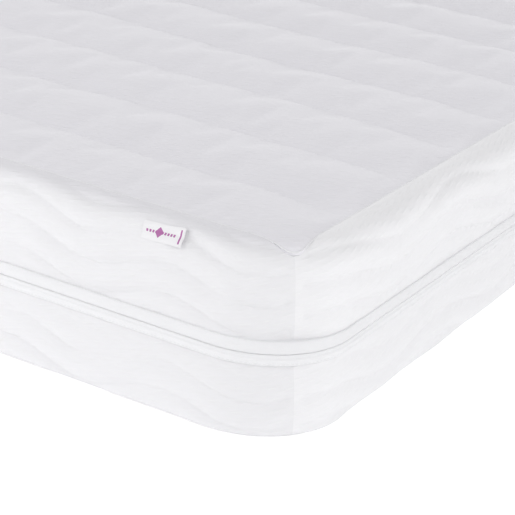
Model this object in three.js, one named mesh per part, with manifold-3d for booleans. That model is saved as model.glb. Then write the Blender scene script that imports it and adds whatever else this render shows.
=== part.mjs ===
// Pressure relief mattress: a layered foam core in a liner, inside a quilted cover whose upper and
// lower halves join at a zip that runs round the perimeter.
//
// Units are millimetres. X is the width, Y the length (foot end at -Y), and Z is up from the face
// that the mattress lies on. An inset is a distance inwards from the outline of the mattress.

import * as THREE from 'three';
import { mergeVertices } from 'three/addons/utils/BufferGeometryUtils.js';
import Module from 'manifold-3d';

const wasm = await Module();
wasm.setup();

// Overall sizes
const mattressWidth = 900;
const mattressLength = 2000;
const mattressHeight = 180;
const cornerRadius = 88;
const cornerSegments = 5;

// Clearances
const gap = 0.3;
const overrun = 5;

// Cover
const borderThickness = 5;
const basePanelThickness = 3;
const topEdgeRadius = 26;
const bottomEdgeRadius = 4;
const edgeSegments = 4;
const topPanelThickness = 10;
const waddingThickness = 8;
const topSeamWidth = 2.4;
const topSeamHeight = 4;
const cornerTapeWidth = 24;

// Pillows of the top panel, and the channels in the foam below the lines between them
const firstGrooveFromEnd = 133;
const grooveCount = 16;
const grooveDepth = 5.5;
const pillowEdgeDrop = 2;
const pillowSegments = 6;
const channelDepth = 9;
const channelWidth = 16;

// Zip
const zipHeight = 79;
const zipGap = 10;
const upperBindingHeight = 6;
const lowerBindingHeight = 3;
const tapeThickness = 1;
const tapeHeight = 20;
const chainHeight = 2.2;
const chainThickness = 2.3;
const chainPartGap = 1.6;
const zipEndsFromHead = 190;
const endPatchLength = 30;
const endPatchThickness = 4;

// Slider and pull tab
const sliderLength = 12;
const sliderHeight = 8.4;
const sliderPlate = 1.2;
const sliderClearance = 0.5;
const sliderPostLength = 3;
const sliderPostHeight = 1;
const sliderFlange = 0.8;
const earLength = 2.6;
const earHeight = 0.8;
const earRise = 1.9;
const tabPinRadius = 0.5;
const tabPinClearance = 0.2;
const tabBarrelRadius = 0.6;
const tabNeckHeight = 3.2;
const tabHeight = 6;
const tabLength = 24;
const tabThickness = 0.9;
const tabHoleLength = 8;
const tabHoleHeight = 3;
const pinSegments = 16;

// Liner and foam
const linerFromTape = 2.3;
const linerThickness = 1;
const linerMouthWidth = 400;
const linerMouthHeight = 10;
const topFoamHeight = 50;
const railHeight = 60;
const railWidth = 100;
const headZoneLength = 600;
const heelZoneLength = 500;
const zoneCutDepth = 35;
const zoneCutWidth = 5;
const headCutPitch = 100;
const bodyCutPitch = 75;
const heelCutPitch = 50;

// Labels
const labelWidth = 42;
const labelHeight = 15;
const labelThickness = 0.6;
const labelFromRight = 143;
const labelTilt = THREE.MathUtils.degToRad(24);
const careLabelWidth = 45;
const careLabelHeight = 30;
const careLabelThickness = 0.4;

// Where each layer ends, from the outline inwards
const halfWidth = mattressWidth / 2;
const halfLength = mattressLength / 2;
const chainInset = borderThickness - chainThickness;
const tapeInset = borderThickness + gap;
const tapeInnerInset = tapeInset + tapeThickness;
const linerInset = tapeInnerInset + linerFromTape;
const foamInset = linerInset + linerThickness + gap;
const innerEdgeRadius = topEdgeRadius - borderThickness;
const topSeamInset = topEdgeRadius + gap;
const topPanelInset = topSeamInset + topSeamWidth + gap;

// Heights of the layers, from the top and from the bottom towards the foam
const topPanelBottom = mattressHeight - topPanelThickness;
const waddingTop = topPanelBottom - gap;
const waddingBottom = waddingTop - waddingThickness;
const linerTop = waddingBottom - gap;
const linerBottom = basePanelThickness + gap;
const foamTop = linerTop - linerThickness - gap;
const foamBottom = linerBottom + linerThickness + gap;
const topFoamBottom = foamTop - topFoamHeight;
const railTop = topFoamBottom - gap;
const railBottom = railTop - railHeight;
const baseFoamTop = railBottom - gap;
const topSeamTop = mattressHeight - pillowEdgeDrop;

// Heights along the zip
const upperBindingBottom = zipHeight + zipGap / 2;
const upperBorderBottom = upperBindingBottom + upperBindingHeight + gap;
const lowerBindingTop = zipHeight - zipGap / 2;
const lowerBorderTop = lowerBindingTop - lowerBindingHeight - gap;
const upperChainBottom = zipHeight + chainPartGap / 2;
const lowerChainTop = zipHeight - chainPartGap / 2;
const upperTapeTop = upperChainBottom + tapeHeight;
const lowerTapeBottom = lowerChainTop - tapeHeight;
const zipEndY = halfLength - zipEndsFromHead;

// The sides by their outward direction, and the corners by their direction from the centre
const sides = {
  foot: [0, -1],
  right: [1, 0],
  head: [0, 1],
  left: [-1, 0],
};
const corners = {
  foot_right: [1, -1],
  head_right: [1, 1],
  head_left: [-1, 1],
  foot_left: [-1, -1],
};

// Colour, roughness and metalness of each material
const looks = {
  knit: [0xf1f1f3, 0.9, 0],
  lining: [0xe9e9ea, 0.95, 0],
  wadding: [0xf6f6f4, 1, 0],
  tape: [0xeeeeef, 0.85, 0],
  chain: [0xe4e4e6, 0.45, 0],
  slider: [0xd0d0d3, 0.35, 0.8],
  label: [0xe6dde6, 0.8, 0],
  careLabel: [0xf4f4f2, 0.7, 0],
  liner: [0xf3f2ee, 0.95, 0],
  baseFoam: [0xdcd8cc, 1, 0],
  railFoam: [0xbfd0e0, 1, 0],
  zoneFoam: [0xefe8d2, 1, 0],
  topFoam: [0xf4efe0, 1, 0],
};

const model = new THREE.Group();

// ---- Solids -------------------------------------------------------------------------------------

function toSolid(geometry) {
  geometry.deleteAttribute('normal');
  geometry.deleteAttribute('uv');
  const merged = mergeVertices(geometry);
  return new wasm.Manifold(new wasm.Mesh({
    numProp: 3,
    vertProperties: new Float32Array(merged.attributes.position.array),
    triVerts: new Uint32Array(merged.index.array),
  }));
}

function addPiece(name, look, solid) {
  const { vertProperties, triVerts } = solid.getMesh();
  const geometry = new THREE.BufferGeometry();
  geometry.setAttribute('position', new THREE.BufferAttribute(vertProperties, 3));
  geometry.setIndex(new THREE.BufferAttribute(triVerts, 1));
  geometry.computeVertexNormals();
  const [color, roughness, metalness] = looks[look];
  const material = new THREE.MeshStandardMaterial({ color, roughness, metalness });
  const mesh = new THREE.Mesh(geometry, material);
  mesh.name = name;
  model.add(mesh);
}

// The rounded outline in plan, drawn in by the inset
function outline(inset) {
  const x = halfWidth - cornerRadius;
  const y = halfLength - cornerRadius;
  const radius = cornerRadius - inset;
  const quarter = Math.PI / 2;
  const shape = new THREE.Shape();
  shape.absarc(x, -y, radius, -quarter, 0, false);
  shape.absarc(x, y, radius, 0, quarter, false);
  shape.absarc(-x, y, radius, quarter, 2 * quarter, false);
  shape.absarc(-x, -y, radius, 2 * quarter, 3 * quarter, false);
  return shape;
}

function extrude(shape, bottom, top) {
  const geometry = new THREE.ExtrudeGeometry(shape, {
    depth: top - bottom,
    bevelEnabled: false,
    curveSegments: cornerSegments,
  });
  return toSolid(geometry.translate(0, 0, bottom));
}

function slab(inset, bottom, top) {
  return extrude(outline(inset), bottom, top);
}

function ring(outerInset, innerInset, bottom, top) {
  const shape = outline(outerInset);
  shape.holes.push(outline(innerInset));
  return extrude(shape, bottom, top);
}

function roundedSlab(inset, bottom, top, edgeRadius) {
  const geometry = new THREE.ExtrudeGeometry(outline(inset), {
    depth: top - bottom - 2 * edgeRadius,
    bevelEnabled: true,
    bevelThickness: edgeRadius,
    bevelSize: edgeRadius,
    bevelOffset: -edgeRadius,
    bevelSegments: edgeSegments,
    curveSegments: cornerSegments,
  });
  return toSolid(geometry.translate(0, 0, bottom + edgeRadius));
}

// A slab with only its top edge rounded
function crownedSlab(inset, bottom, top, edgeRadius) {
  return roundedSlab(inset, bottom - 2 * edgeRadius, top, edgeRadius)
    .intersect(slab(inset - overrun, bottom, top + overrun));
}

function box(low, high) {
  const size = low.map((value, i) => high[i] - value);
  const middle = low.map((value, i) => (high[i] + value) / 2);
  return toSolid(new THREE.BoxGeometry(...size).translate(...middle));
}

function uprightPin(radius, x, y, bottom, top) {
  const geometry = new THREE.CylinderGeometry(radius, radius, top - bottom, pinSegments);
  return toSolid(geometry.rotateX(Math.PI / 2).translate(x, y, (bottom + top) / 2));
}

// An outline whose shape coordinates are Y and Z, pushed out along the width
function acrossWidth(shape, halfSpan) {
  const geometry = new THREE.ExtrudeGeometry(shape, {
    depth: 2 * halfSpan,
    bevelEnabled: false,
    curveSegments: pillowSegments,
  });
  const turn = new THREE.Matrix4().makeBasis(
    new THREE.Vector3(0, 1, 0),
    new THREE.Vector3(0, 0, 1),
    new THREE.Vector3(1, 0, 0),
  );
  return toSolid(geometry.applyMatrix4(turn).translate(-halfSpan, 0, 0));
}

// The part of the plan that belongs to one side, up to the seams at the middle of its two corners
function sideWedge([outX, outY]) {
  const reach = cornerRadius + overrun;
  const along = (outX ? halfLength : halfWidth) - cornerRadius - gap / Math.SQRT2;
  const out = (outX ? halfWidth : halfLength) - cornerRadius;
  const point = (a, o) => new THREE.Vector2(outX * o - outY * a, outY * o + outX * a);
  const shape = new THREE.Shape([
    point(-along, out),
    point(-along - reach, out + reach),
    point(along + reach, out + reach),
    point(along, out),
  ]);
  return extrude(shape, -overrun, mattressHeight + overrun);
}

// ---- Cover panels -------------------------------------------------------------------------------

const groovePitch = (mattressLength - 2 * firstGrooveFromEnd) / (grooveCount - 1);
const grooves = Array.from(
  { length: grooveCount },
  (_, i) => firstGrooveFromEnd - halfLength + i * groovePitch,
);

function topPanel() {
  const end = halfLength - topPanelInset;
  const valley = mattressHeight - grooveDepth;
  const lines = [[-end, topSeamTop], ...grooves.map((y) => [y, valley]), [end, topSeamTop]];
  const shape = new THREE.Shape();
  shape.moveTo(-end, topPanelBottom);
  shape.lineTo(-end, topSeamTop);
  for (let i = 1; i < lines.length; i += 1) {
    const [y0, z0] = lines[i - 1];
    const [y1, z1] = lines[i];
    // The crest of a quadratic arc lies halfway between its chord and its control point.
    shape.quadraticCurveTo((y0 + y1) / 2, 2 * mattressHeight - (z0 + z1) / 2, y1, z1);
  }
  shape.lineTo(end, topPanelBottom);
  const room = slab(topPanelInset, topPanelBottom - overrun, mattressHeight);
  return acrossWidth(shape, halfWidth).intersect(room);
}

// The upper border rises from the zip and rolls over the top edge, as far as the seam.
function upperBorder() {
  const innerTop = mattressHeight - borderThickness;
  return crownedSlab(0, upperBorderBottom, mattressHeight, topEdgeRadius)
    .subtract(crownedSlab(borderThickness, 0, innerTop, innerEdgeRadius))
    .subtract(slab(topEdgeRadius, 0, mattressHeight + overrun));
}

// The wadding lies under the top panel, as wide as the rounded edge of the border leaves room for.
function wadding() {
  const facetReach = innerEdgeRadius * Math.cos(Math.PI / (4 * edgeSegments)) - gap;
  const rise = waddingTop - (mattressHeight - topEdgeRadius);
  const inset = topEdgeRadius - Math.sqrt(facetReach ** 2 - rise ** 2);
  return slab(inset, waddingBottom, waddingTop);
}

function lowerBorder() {
  return roundedSlab(0, 0, mattressHeight, bottomEdgeRadius)
    .subtract(slab(borderThickness, -overrun, mattressHeight + overrun))
    .intersect(slab(-overrun, -overrun, lowerBorderTop));
}

// A tape behind the seam at the middle of a corner
function cornerTape([outX, outY], bottom, top) {
  const fromCentre = (cornerRadius - tapeInset) * Math.SQRT1_2;
  const block = new THREE.BoxGeometry(cornerTapeWidth, cornerTapeWidth, top - bottom);
  block.rotateZ(Math.atan2(outY, outX));
  block.translate(
    outX * (halfWidth - cornerRadius + fromCentre),
    outY * (halfLength - cornerRadius + fromCentre),
    (bottom + top) / 2,
  );
  return ring(tapeInset, tapeInnerInset, bottom, top).intersect(toSolid(block));
}

addPiece('top_panel', 'knit', topPanel());
addPiece('top_wadding', 'wadding', wadding());
addPiece(
  'top_edge_seam',
  'tape',
  ring(topSeamInset, topSeamInset + topSeamWidth, topSeamTop - topSeamHeight, topSeamTop),
);
addPiece('base_panel', 'lining', slab(borderThickness + gap, 0, basePanelThickness));

for (const [side, out] of Object.entries(sides)) {
  addPiece(`upper_border_${side}`, 'knit', upperBorder().intersect(sideWedge(out)));
  addPiece(`lower_border_${side}`, 'knit', lowerBorder().intersect(sideWedge(out)));
}
for (const [corner, out] of Object.entries(corners)) {
  const upperTape = cornerTape(out, upperTapeTop + gap, mattressHeight - topEdgeRadius);
  const lowerTape = cornerTape(out, linerBottom, lowerTapeBottom - gap);
  addPiece(`upper_corner_tape_${corner}`, 'tape', upperTape);
  addPiece(`lower_corner_tape_${corner}`, 'tape', lowerTape);
}

// ---- Zip ----------------------------------------------------------------------------------------

// A band round the perimeter that stops on both sides of the patch over the zip's ends
function zipBand(outerInset, innerInset, bottom, top) {
  const opening = box(
    [-halfWidth - overrun, zipEndY - gap, bottom - overrun],
    [-halfWidth + cornerRadius, zipEndY + endPatchLength + gap, top + overrun],
  );
  return ring(outerInset, innerInset, bottom, top).subtract(opening);
}

const fromLeft = (inset) => -halfWidth + inset;

addPiece(
  'upper_zip_binding',
  'knit',
  ring(0, borderThickness, upperBindingBottom, upperBindingBottom + upperBindingHeight),
);
addPiece(
  'lower_zip_binding',
  'knit',
  ring(0, borderThickness, lowerBindingTop - lowerBindingHeight, lowerBindingTop),
);
addPiece(
  'upper_zip_tape',
  'tape',
  zipBand(tapeInset, tapeInnerInset, upperChainBottom, upperTapeTop),
);
addPiece(
  'lower_zip_tape',
  'tape',
  zipBand(tapeInset, tapeInnerInset, lowerTapeBottom, lowerChainTop),
);
addPiece(
  'upper_zip_chain',
  'chain',
  zipBand(chainInset, borderThickness, upperChainBottom, upperChainBottom + chainHeight),
);
addPiece(
  'lower_zip_chain',
  'chain',
  zipBand(chainInset, borderThickness, lowerChainTop - chainHeight, lowerChainTop),
);
addPiece('zip_end_patch', 'tape', box(
  [fromLeft(borderThickness - endPatchThickness), zipEndY, lowerBindingTop + gap],
  [fromLeft(borderThickness), zipEndY + endPatchLength, upperBindingBottom - gap],
));

// The slider is parked against the patch. Its outer plate lies outside the chain and its inner
// plate behind the tapes, and its post runs between the two halves of the chain.
const outerPlateInset = chainInset - sliderClearance - sliderPlate;
const innerPlateInset = tapeInnerInset + sliderClearance;
const slideInnerInset = innerPlateInset + sliderPlate;
const sliderHighY = zipEndY - gap;
const sliderLowY = sliderHighY - sliderLength;
const sliderBottom = zipHeight - sliderHeight / 2;
const sliderTop = zipHeight + sliderHeight / 2;

// The pull tab turns on a pin between two ears on the outer plate.
const pivotX = fromLeft(outerPlateInset - earRise / 2);
const pivotY = sliderLowY + sliderLength / 2;
const earInner = tabNeckHeight / 2 + gap;

function slider() {
  const outerPlate = box(
    [fromLeft(outerPlateInset), sliderLowY, sliderBottom],
    [fromLeft(outerPlateInset + sliderPlate), sliderHighY, sliderTop],
  );
  const innerPlate = box(
    [fromLeft(innerPlateInset), sliderLowY, sliderBottom],
    [fromLeft(slideInnerInset), sliderHighY, sliderTop],
  );
  const post = box(
    [fromLeft(outerPlateInset), sliderHighY - sliderPostLength, zipHeight - sliderPostHeight / 2],
    [fromLeft(slideInnerInset), sliderHighY, zipHeight + sliderPostHeight / 2],
  );
  const flange = box(
    [fromLeft(outerPlateInset), sliderLowY, sliderBottom],
    [fromLeft(borderThickness), sliderHighY, sliderBottom + sliderFlange],
  );
  const ear = (bottom) => box(
    [fromLeft(outerPlateInset - earRise), pivotY - earLength / 2, bottom],
    [fromLeft(outerPlateInset), pivotY + earLength / 2, bottom + earHeight],
  );
  const bore = uprightPin(tabPinRadius + tabPinClearance, pivotX, pivotY, sliderBottom, sliderTop);
  const ears = ear(zipHeight + earInner).add(ear(zipHeight - earInner - earHeight)).subtract(bore);
  return outerPlate.add(innerPlate).add(post).add(flange).add(ears);
}

function pullTab() {
  const pinHalf = earInner + earHeight;
  const neckEnd = pivotY - earLength;
  const plate = (lowY, highY, height) => box(
    [pivotX - tabThickness / 2, lowY, zipHeight - height / 2],
    [pivotX + tabThickness / 2, highY, zipHeight + height / 2],
  );
  const neck = plate(neckEnd, pivotY, tabNeckHeight);
  const blade = plate(pivotY - tabLength, neckEnd, tabHeight);
  const holeMiddle = pivotY - tabLength + tabHoleLength;
  const hole = box(
    [pivotX - tabThickness, holeMiddle - tabHoleLength / 2, zipHeight - tabHoleHeight / 2],
    [pivotX + tabThickness, holeMiddle + tabHoleLength / 2, zipHeight + tabHoleHeight / 2],
  );
  const barrelLow = zipHeight - tabNeckHeight / 2;
  const barrel = uprightPin(tabBarrelRadius, pivotX, pivotY, barrelLow, barrelLow + tabNeckHeight);
  const pin = uprightPin(tabPinRadius, pivotX, pivotY, zipHeight - pinHalf, zipHeight + pinHalf);
  return blade.subtract(hole).add(neck).add(barrel).add(pin);
}

addPiece('zip_slider', 'slider', slider());
addPiece('pull_tab', 'slider', pullTab());

// ---- Core ---------------------------------------------------------------------------------------

// A knit sock, with its mouth at the head end
function liner() {
  const innerInset = linerInset + linerThickness;
  const mouthMiddle = (linerBottom + linerTop) / 2;
  const mouth = box(
    [-linerMouthWidth / 2, halfLength - cornerRadius, mouthMiddle - linerMouthHeight / 2],
    [linerMouthWidth / 2, halfLength, mouthMiddle + linerMouthHeight / 2],
  );
  const innerBottom = linerBottom + linerThickness;
  const innerTop = linerTop - linerThickness;
  return crownedSlab(linerInset, linerBottom, linerTop, topEdgeRadius - linerInset)
    .subtract(crownedSlab(innerInset, innerBottom, innerTop, topEdgeRadius - innerInset))
    .subtract(mouth);
}

// The top layer, with a channel across it under each line between two pillows
function topFoam() {
  const end = halfLength - foamInset;
  const channels = grooves.flatMap((y) => [
    new THREE.Vector2(y - channelWidth / 2, foamTop),
    new THREE.Vector2(y, foamTop - channelDepth),
    new THREE.Vector2(y + channelWidth / 2, foamTop),
  ]);
  const shape = new THREE.Shape([
    new THREE.Vector2(end, foamTop),
    new THREE.Vector2(end, topFoamBottom),
    new THREE.Vector2(-end, topFoamBottom),
    new THREE.Vector2(-end, foamTop),
    ...channels,
  ]);
  const room = crownedSlab(foamInset, topFoamBottom, foamTop, topEdgeRadius - foamInset);
  return acrossWidth(shape, halfWidth).intersect(room);
}

function rail(side) {
  const inner = halfWidth - foamInset - railWidth;
  const edges = [side * inner, side * halfWidth].sort((a, b) => a - b);
  return slab(foamInset, railBottom, railTop).intersect(box(
    [edges[0], -halfLength, railBottom - overrun],
    [edges[1], halfLength, railTop + overrun],
  ));
}

// A block between the rails, with cuts across its upper face that soften it
function coreZone(lowY, highY, cutPitch) {
  const length = highY - lowY;
  const cutCount = Math.floor(length / cutPitch);
  const firstCut = lowY + (length - (cutCount - 1) * cutPitch) / 2;
  const shape = new THREE.Shape();
  shape.moveTo(lowY, railTop);
  for (let i = 0; i < cutCount; i += 1) {
    const low = firstCut + i * cutPitch - zoneCutWidth / 2;
    shape.lineTo(low, railTop);
    shape.lineTo(low, railTop - zoneCutDepth);
    shape.lineTo(low + zoneCutWidth, railTop - zoneCutDepth);
    shape.lineTo(low + zoneCutWidth, railTop);
  }
  shape.lineTo(highY, railTop);
  shape.lineTo(highY, railBottom);
  shape.lineTo(lowY, railBottom);
  return acrossWidth(shape, halfWidth - foamInset - railWidth - gap);
}

const coreEnd = halfLength - foamInset;
const heelZoneEnd = -coreEnd + heelZoneLength;
const headZoneStart = coreEnd - headZoneLength;

addPiece('liner', 'liner', liner());
addPiece('base_foam', 'baseFoam', slab(foamInset, foamBottom, baseFoamTop));
addPiece('right_rail_foam', 'railFoam', rail(1));
addPiece('left_rail_foam', 'railFoam', rail(-1));
addPiece('heel_zone_foam', 'zoneFoam', coreZone(-coreEnd, heelZoneEnd, heelCutPitch));
addPiece('body_zone_foam', 'zoneFoam', coreZone(heelZoneEnd + gap, headZoneStart - gap, bodyCutPitch));
addPiece('head_zone_foam', 'zoneFoam', coreZone(headZoneStart, coreEnd, headCutPitch));
addPiece('top_foam', 'topFoam', topFoam());

// ---- Labels -------------------------------------------------------------------------------------

// A woven label, laid against the rounded top edge of the foot end
function wovenLabel() {
  const block = new THREE.BoxGeometry(labelWidth, labelThickness, labelHeight);
  block.translate(0, -topEdgeRadius - gap - labelThickness / 2, 0);
  block.rotateX(-labelTilt);
  block.translate(
    halfWidth - labelFromRight,
    topEdgeRadius - halfLength,
    mattressHeight - topEdgeRadius,
  );
  return toSolid(block);
}

const careLabelTop = lowerTapeBottom - gap;
addPiece('woven_label', 'label', wovenLabel());
addPiece('care_label', 'careLabel', box(
  [-careLabelWidth / 2, halfLength - tapeInset - careLabelThickness, careLabelTop - careLabelHeight],
  [careLabelWidth / 2, halfLength - tapeInset, careLabelTop],
));

export default model;
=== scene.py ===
import math

import bmesh
import bpy
import numpy as np
from mathutils import Matrix, Vector

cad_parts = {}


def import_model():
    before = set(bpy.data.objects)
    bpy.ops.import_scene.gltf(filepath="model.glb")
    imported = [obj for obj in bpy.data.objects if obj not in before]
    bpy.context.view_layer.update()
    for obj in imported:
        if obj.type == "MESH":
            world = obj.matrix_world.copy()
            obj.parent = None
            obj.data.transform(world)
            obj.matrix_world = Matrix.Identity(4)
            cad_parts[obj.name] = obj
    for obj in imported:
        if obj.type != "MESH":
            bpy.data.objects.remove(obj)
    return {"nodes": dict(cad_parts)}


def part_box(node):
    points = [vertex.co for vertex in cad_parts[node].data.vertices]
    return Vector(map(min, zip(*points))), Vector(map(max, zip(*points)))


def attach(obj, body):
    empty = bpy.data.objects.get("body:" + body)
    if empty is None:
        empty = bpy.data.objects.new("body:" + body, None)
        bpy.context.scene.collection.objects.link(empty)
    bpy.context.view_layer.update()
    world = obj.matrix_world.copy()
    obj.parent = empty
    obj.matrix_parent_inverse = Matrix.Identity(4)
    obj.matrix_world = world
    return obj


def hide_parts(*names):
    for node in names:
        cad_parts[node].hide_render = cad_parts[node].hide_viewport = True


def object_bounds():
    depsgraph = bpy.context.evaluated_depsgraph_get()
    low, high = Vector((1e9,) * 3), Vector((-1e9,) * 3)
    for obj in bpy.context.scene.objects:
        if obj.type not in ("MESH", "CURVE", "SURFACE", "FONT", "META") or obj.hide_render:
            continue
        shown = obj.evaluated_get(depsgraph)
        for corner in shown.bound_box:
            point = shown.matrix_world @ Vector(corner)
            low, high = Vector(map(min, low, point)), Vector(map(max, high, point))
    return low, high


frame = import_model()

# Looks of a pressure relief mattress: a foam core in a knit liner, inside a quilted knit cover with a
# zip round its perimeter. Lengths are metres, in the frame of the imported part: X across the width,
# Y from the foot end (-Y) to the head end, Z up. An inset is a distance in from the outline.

cad_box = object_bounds()
MM = 0.001
GAP = 0.3 * MM

# ---- Sizes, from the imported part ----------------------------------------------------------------


def extent(node, axis):
    """Where a CAD node starts and ends along an axis."""
    low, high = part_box(node)
    return low[axis], high[axis]


HALF_W = extent("upper_border_right", 0)[1]
HALF_L = extent("upper_border_head", 1)[1]
WALL = HALF_W - extent("base_panel", 0)[1] - GAP
TOP_RADIUS = HALF_W - extent("top_edge_seam", 0)[1] - GAP
UPPER_BOTTOM, UPPER_TOP = extent("upper_border_right", 2)
LOWER_BOTTOM, LOWER_TOP = extent("lower_border_right", 2)
UPPER_BINDING = extent("upper_zip_binding", 2)
LOWER_BINDING = extent("lower_zip_binding", 2)
PATCH_LOW, PATCH_HIGH = extent("zip_end_patch", 1)
# The outline's corner radius in plan, which no box in the frame gives
CORNER = 88 * MM

# ---- The outline in plan ------------------------------------------------------------------------

SIDES = {"foot": (0, -1), "right": (1, 0), "head": (0, 1), "left": (-1, 0)}
QUARTER = CORNER * math.pi / 2
STRAIGHTS = [2 * (HALF_W if out[0] == 0 else HALF_L) - 2 * CORNER for out in SIDES.values()]
PERIMETER = sum(STRAIGHTS) + 4 * QUARTER
# Where each side's straight stretch starts, counted along the outline from the foot side's
STARTS = dict(zip(SIDES, np.cumsum([0.0] + [a + QUARTER for a in STRAIGHTS[:-1]])))


def outline_at(s):
    """Points of the outline and their outward normals, at distances s along it, anticlockwise."""
    s = np.mod(np.asarray(s, float), PERIMETER)
    points, normals = np.zeros((len(s), 2)), np.zeros((len(s), 2))
    for (name, out), straight in zip(SIDES.items(), STRAIGHTS):
        out = np.array(out, float)
        along = np.array([-out[1], out[0]])
        half = HALF_W if out[0] else HALF_L
        t = s - STARTS[name]
        on = (t >= 0) & (t <= straight)
        points[on] = out * half + np.outer(t[on] - straight / 2, along)
        normals[on] = out
        on = (t > straight) & (t < straight + QUARTER)
        turn = (t[on] - straight) / CORNER
        normal = np.outer(np.cos(turn), out) + np.outer(np.sin(turn), along)
        points[on] = out * (half - CORNER) + along * straight / 2 + CORNER * normal
        normals[on] = normal
    return points, normals


def side_range(side):
    """Where a side's border starts and ends along the outline, from corner seam to corner seam."""
    start = STARTS[side]
    straight = STRAIGHTS[list(SIDES).index(side)]
    return start - QUARTER / 2, start + straight + QUARTER / 2


def stations(low, high, step):
    return np.linspace(low, high, int(round((high - low) / step)) + 1)


# ---- Numbers that shape cloth -------------------------------------------------------------------


def smooth(low, high, x):
    """0 below low, 1 above high, and an even ramp between."""
    t = np.clip((x - low) / (high - low), 0, 1)
    return t * t * (3 - 2 * t)


def ripples(x, y, wavelength, seed, count=14):
    """An uneven surface of about unit height, from waves in random directions."""
    rng = np.random.default_rng(seed)
    total = np.zeros(np.broadcast(x, y).shape)
    for _ in range(count):
        angle, phase = rng.uniform(0, 2 * math.pi, 2)
        k = 2 * math.pi / (wavelength * rng.uniform(0.7, 1.6))
        total += np.sin(k * (x * math.cos(angle) + y * math.sin(angle)) + phase)
    return total / math.sqrt(count)


# ---- Meshes -------------------------------------------------------------------------------------

UV = "weave"
SHEET_SHARP = math.radians(50)
CAD_SHARP = math.radians(35)


def add_object(name, data):
    obj = bpy.data.objects.new(name, data)
    bpy.context.scene.collection.objects.link(obj)
    return obj


def grid_of(*parts):
    """One array of points or flat coordinates from arrays of each part, which broadcast."""
    return np.stack(np.broadcast_arrays(*parts), -1)


def quad_grid(nu, nv, wrap=False, first=0):
    """The quads of a grid of nu by nv points. wrap joins the last row of u to the first."""
    i = np.arange(nu if wrap else nu - 1)[:, None]
    j = np.arange(nv - 1)[None, :]
    n = (i + 1) % nu
    corners = [i * nv + j, n * nv + j, n * nv + j + 1, i * nv + j + 1]
    return np.stack([c + first + 0 * (i + j) for c in corners], -1).reshape(-1, 4)


def make(name, points, quads, uv, smooth_faces=True):
    """An object from arrays of points, quads and a flat coordinate in metres for each point."""
    points = np.ascontiguousarray(points.reshape(-1, 3))
    corners = points[quads]
    # Six times the volume, which is negative if the faces point inwards
    normals = np.cross(corners[:, 1], corners[:, 2]) + np.cross(corners[:, 2], corners[:, 3])
    if np.sum(corners[:, 0] * normals) < 0:
        quads = quads[:, ::-1]
    mesh = bpy.data.meshes.new(name)
    mesh.vertices.add(len(points))
    mesh.vertices.foreach_set("co", points.ravel())
    mesh.loops.add(quads.size)
    mesh.loops.foreach_set("vertex_index", quads.ravel().astype(np.int32))
    mesh.polygons.add(len(quads))
    mesh.polygons.foreach_set("loop_start", np.arange(0, quads.size, 4, dtype=np.int32))
    mesh.polygons.foreach_set("use_smooth", np.full(len(quads), smooth_faces))
    mesh.update(calc_edges=True)
    layer = mesh.uv_layers.new(name=UV)
    layer.data.foreach_set("uv", uv.reshape(-1, 2)[quads.ravel()].astype(np.float32).ravel())
    if smooth_faces:
        mesh.set_sharp_from_angle(angle=SHEET_SHARP)
    obj = add_object(name, mesh)
    return obj


def shell(name, outer, inner, uv):
    """A closed sheet between two grids of the same size, with its rims filled in."""
    nu, nv = outer.shape[:2]
    count = nu * nv
    front = quad_grid(nu, nv)
    back = quad_grid(nu, nv, first=count)[:, ::-1]
    rims = []
    i = np.arange(nu - 1)
    for a, b, j in ((i + 1, i, 0), (i, i + 1, nv - 1)):
        rims.append(np.stack([a * nv + j, b * nv + j, b * nv + j + count, a * nv + j + count], -1))
    j = np.arange(nv - 1)
    for a, b, row in ((j, j + 1, 0), (j + 1, j, (nu - 1) * nv)):
        rims.append(np.stack([row + a, row + b, row + b + count, row + a + count], -1))
    points = np.concatenate([outer.reshape(-1, 3), inner.reshape(-1, 3)])
    both = np.concatenate([uv.reshape(-1, 2), uv.reshape(-1, 2)])
    return make(name, points, np.concatenate([front, back, *rims]), both)


def tube(name, rings, uv, closed=False):
    """A closed body from a row of ring sections. Unless it is closed on itself, its ends are filled."""
    nu, nv = rings.shape[:2]
    wrapped = np.concatenate([rings, rings[:, :1]], 1)
    quads = quad_grid(nu, nv + 1, closed)
    row, column = np.divmod(quads, nv + 1)
    quads = row * nv + column % nv
    obj = make(name, wrapped[:, :-1], quads, uv)
    if not closed:
        bm = bmesh.new()
        bm.from_mesh(obj.data)
        bm.verts.ensure_lookup_table()
        for first, order in ((0, 1), ((nu - 1) * nv, -1)):
            ring = [bm.verts[first + k] for k in range(nv)][::order]
            bm.faces.new(ring)
        bmesh.ops.recalc_face_normals(bm, faces=bm.faces)
        bm.to_mesh(obj.data)
        bm.free()
    return obj


def spot(s, inset, z):
    """A point for each distance s along the outline, drawn in by inset, at height z."""
    points, normals = outline_at(np.ravel(s))
    xy = points - normals * np.ravel(np.broadcast_to(inset, s.shape))[:, None]
    return np.concatenate([xy.reshape(*s.shape, 2), np.broadcast_to(z, s.shape)[..., None]], -1)


def place(s, inset, z):
    """Like spot, for a plain row of distances: each takes a row of insets and heights."""
    s = np.reshape(s, (-1, 1))
    shape = np.broadcast_shapes(s.shape, np.shape(inset), np.shape(z))
    return spot(np.broadcast_to(s, shape), inset, z)


def band(name, profile, low, high, step):
    """A profile of (inset, z) points swept along the outline."""
    s = stations(low, high, step)
    profile = np.array(profile, float)
    rings = place(s, profile[None, :, 0], profile[None, :, 1])
    around = np.concatenate([[0], np.cumsum(np.linalg.norm(np.diff(profile, axis=0), axis=1))])
    uv = grid_of(s[:, None], around[None, :])
    return tube(name, rings, uv)


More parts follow.
